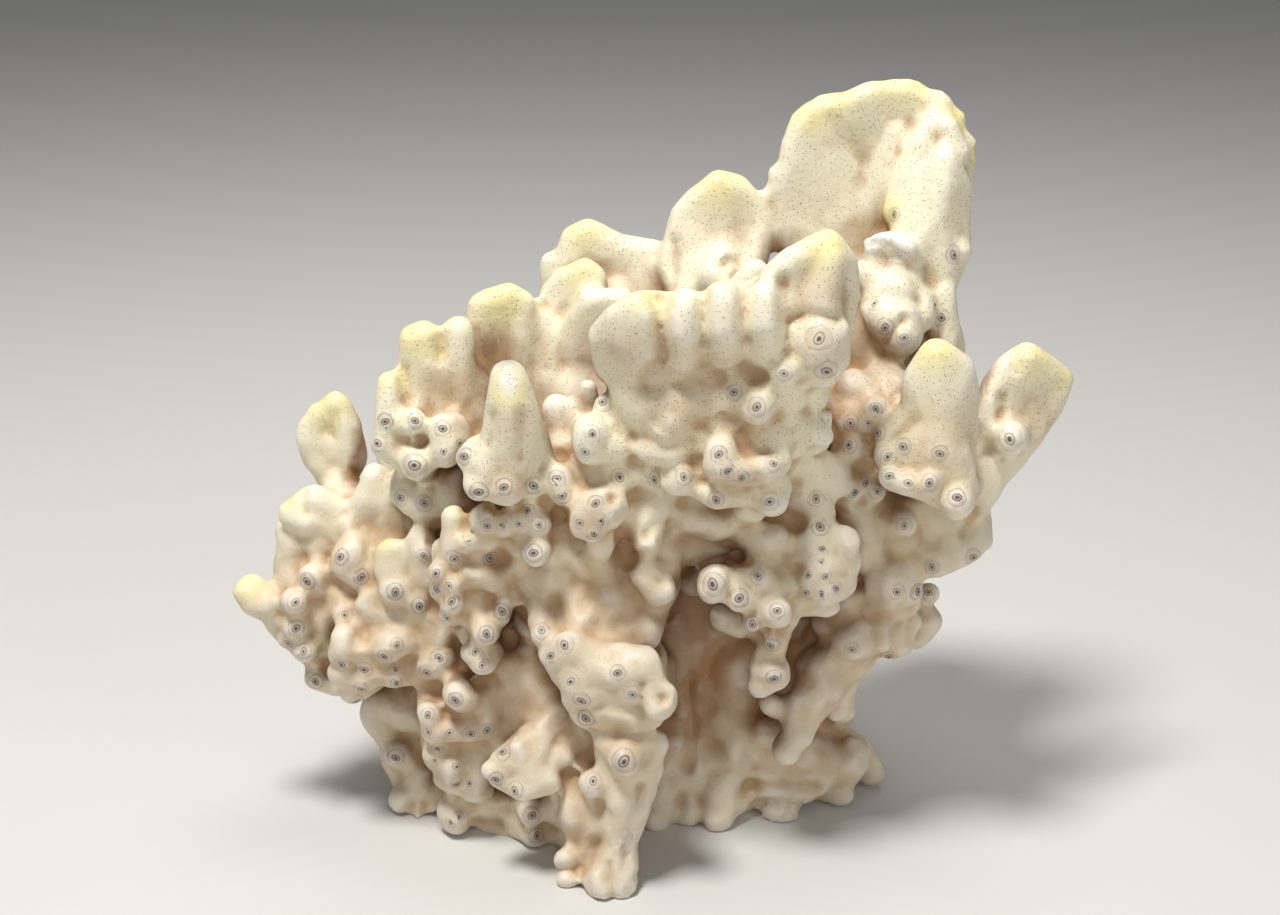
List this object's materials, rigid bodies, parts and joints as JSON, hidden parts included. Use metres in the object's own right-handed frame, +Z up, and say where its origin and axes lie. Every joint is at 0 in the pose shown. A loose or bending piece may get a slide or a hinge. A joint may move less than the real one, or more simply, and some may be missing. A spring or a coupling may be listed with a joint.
{
  "type": "fire coral",
  "caption": "Dried fire coral colony of blades, knobs and fingers that rise and droop from one trunk, sawn flat at the foot to stand on.",
  "frame": {"origin": "on the floor plane of the sawn foot, near the middle of the trunk", "axes": "+Z up, -Y towards the pictured front with the long leg, +X to the side with the tall fan"},
  "size_m": [0.2102, 0.1117, 0.1858],
  "materials": {
    "coral_limestone": "dry ivory limestone, satin"
  },
  "bodies": {
    "root": {"trunk": "coral_limestone", "front_leg": "coral_limestone", "left_mound": "coral_limestone", "left_fork": "coral_limestone", "knob_cluster": "coral_limestone", "middle_knobs": "coral_limestone", "mitten_blade": "coral_limestone", "middle_blades": "coral_limestone", "front_thumb": "coral_limestone", "back_ridge": "coral_limestone", "front_blade": "coral_limestone", "fan_plate": "coral_limestone", "shoulder_lobes": "coral_limestone", "right_blade": "coral_limestone", "right_wing": "coral_limestone", "long_finger": "coral_limestone", "hanging_arm": "coral_limestone", "rear_left_blade": "coral_limestone", "rear_right_blade": "coral_limestone", "rear_middle_blade": "coral_limestone"}
  },
  "joints": []
}
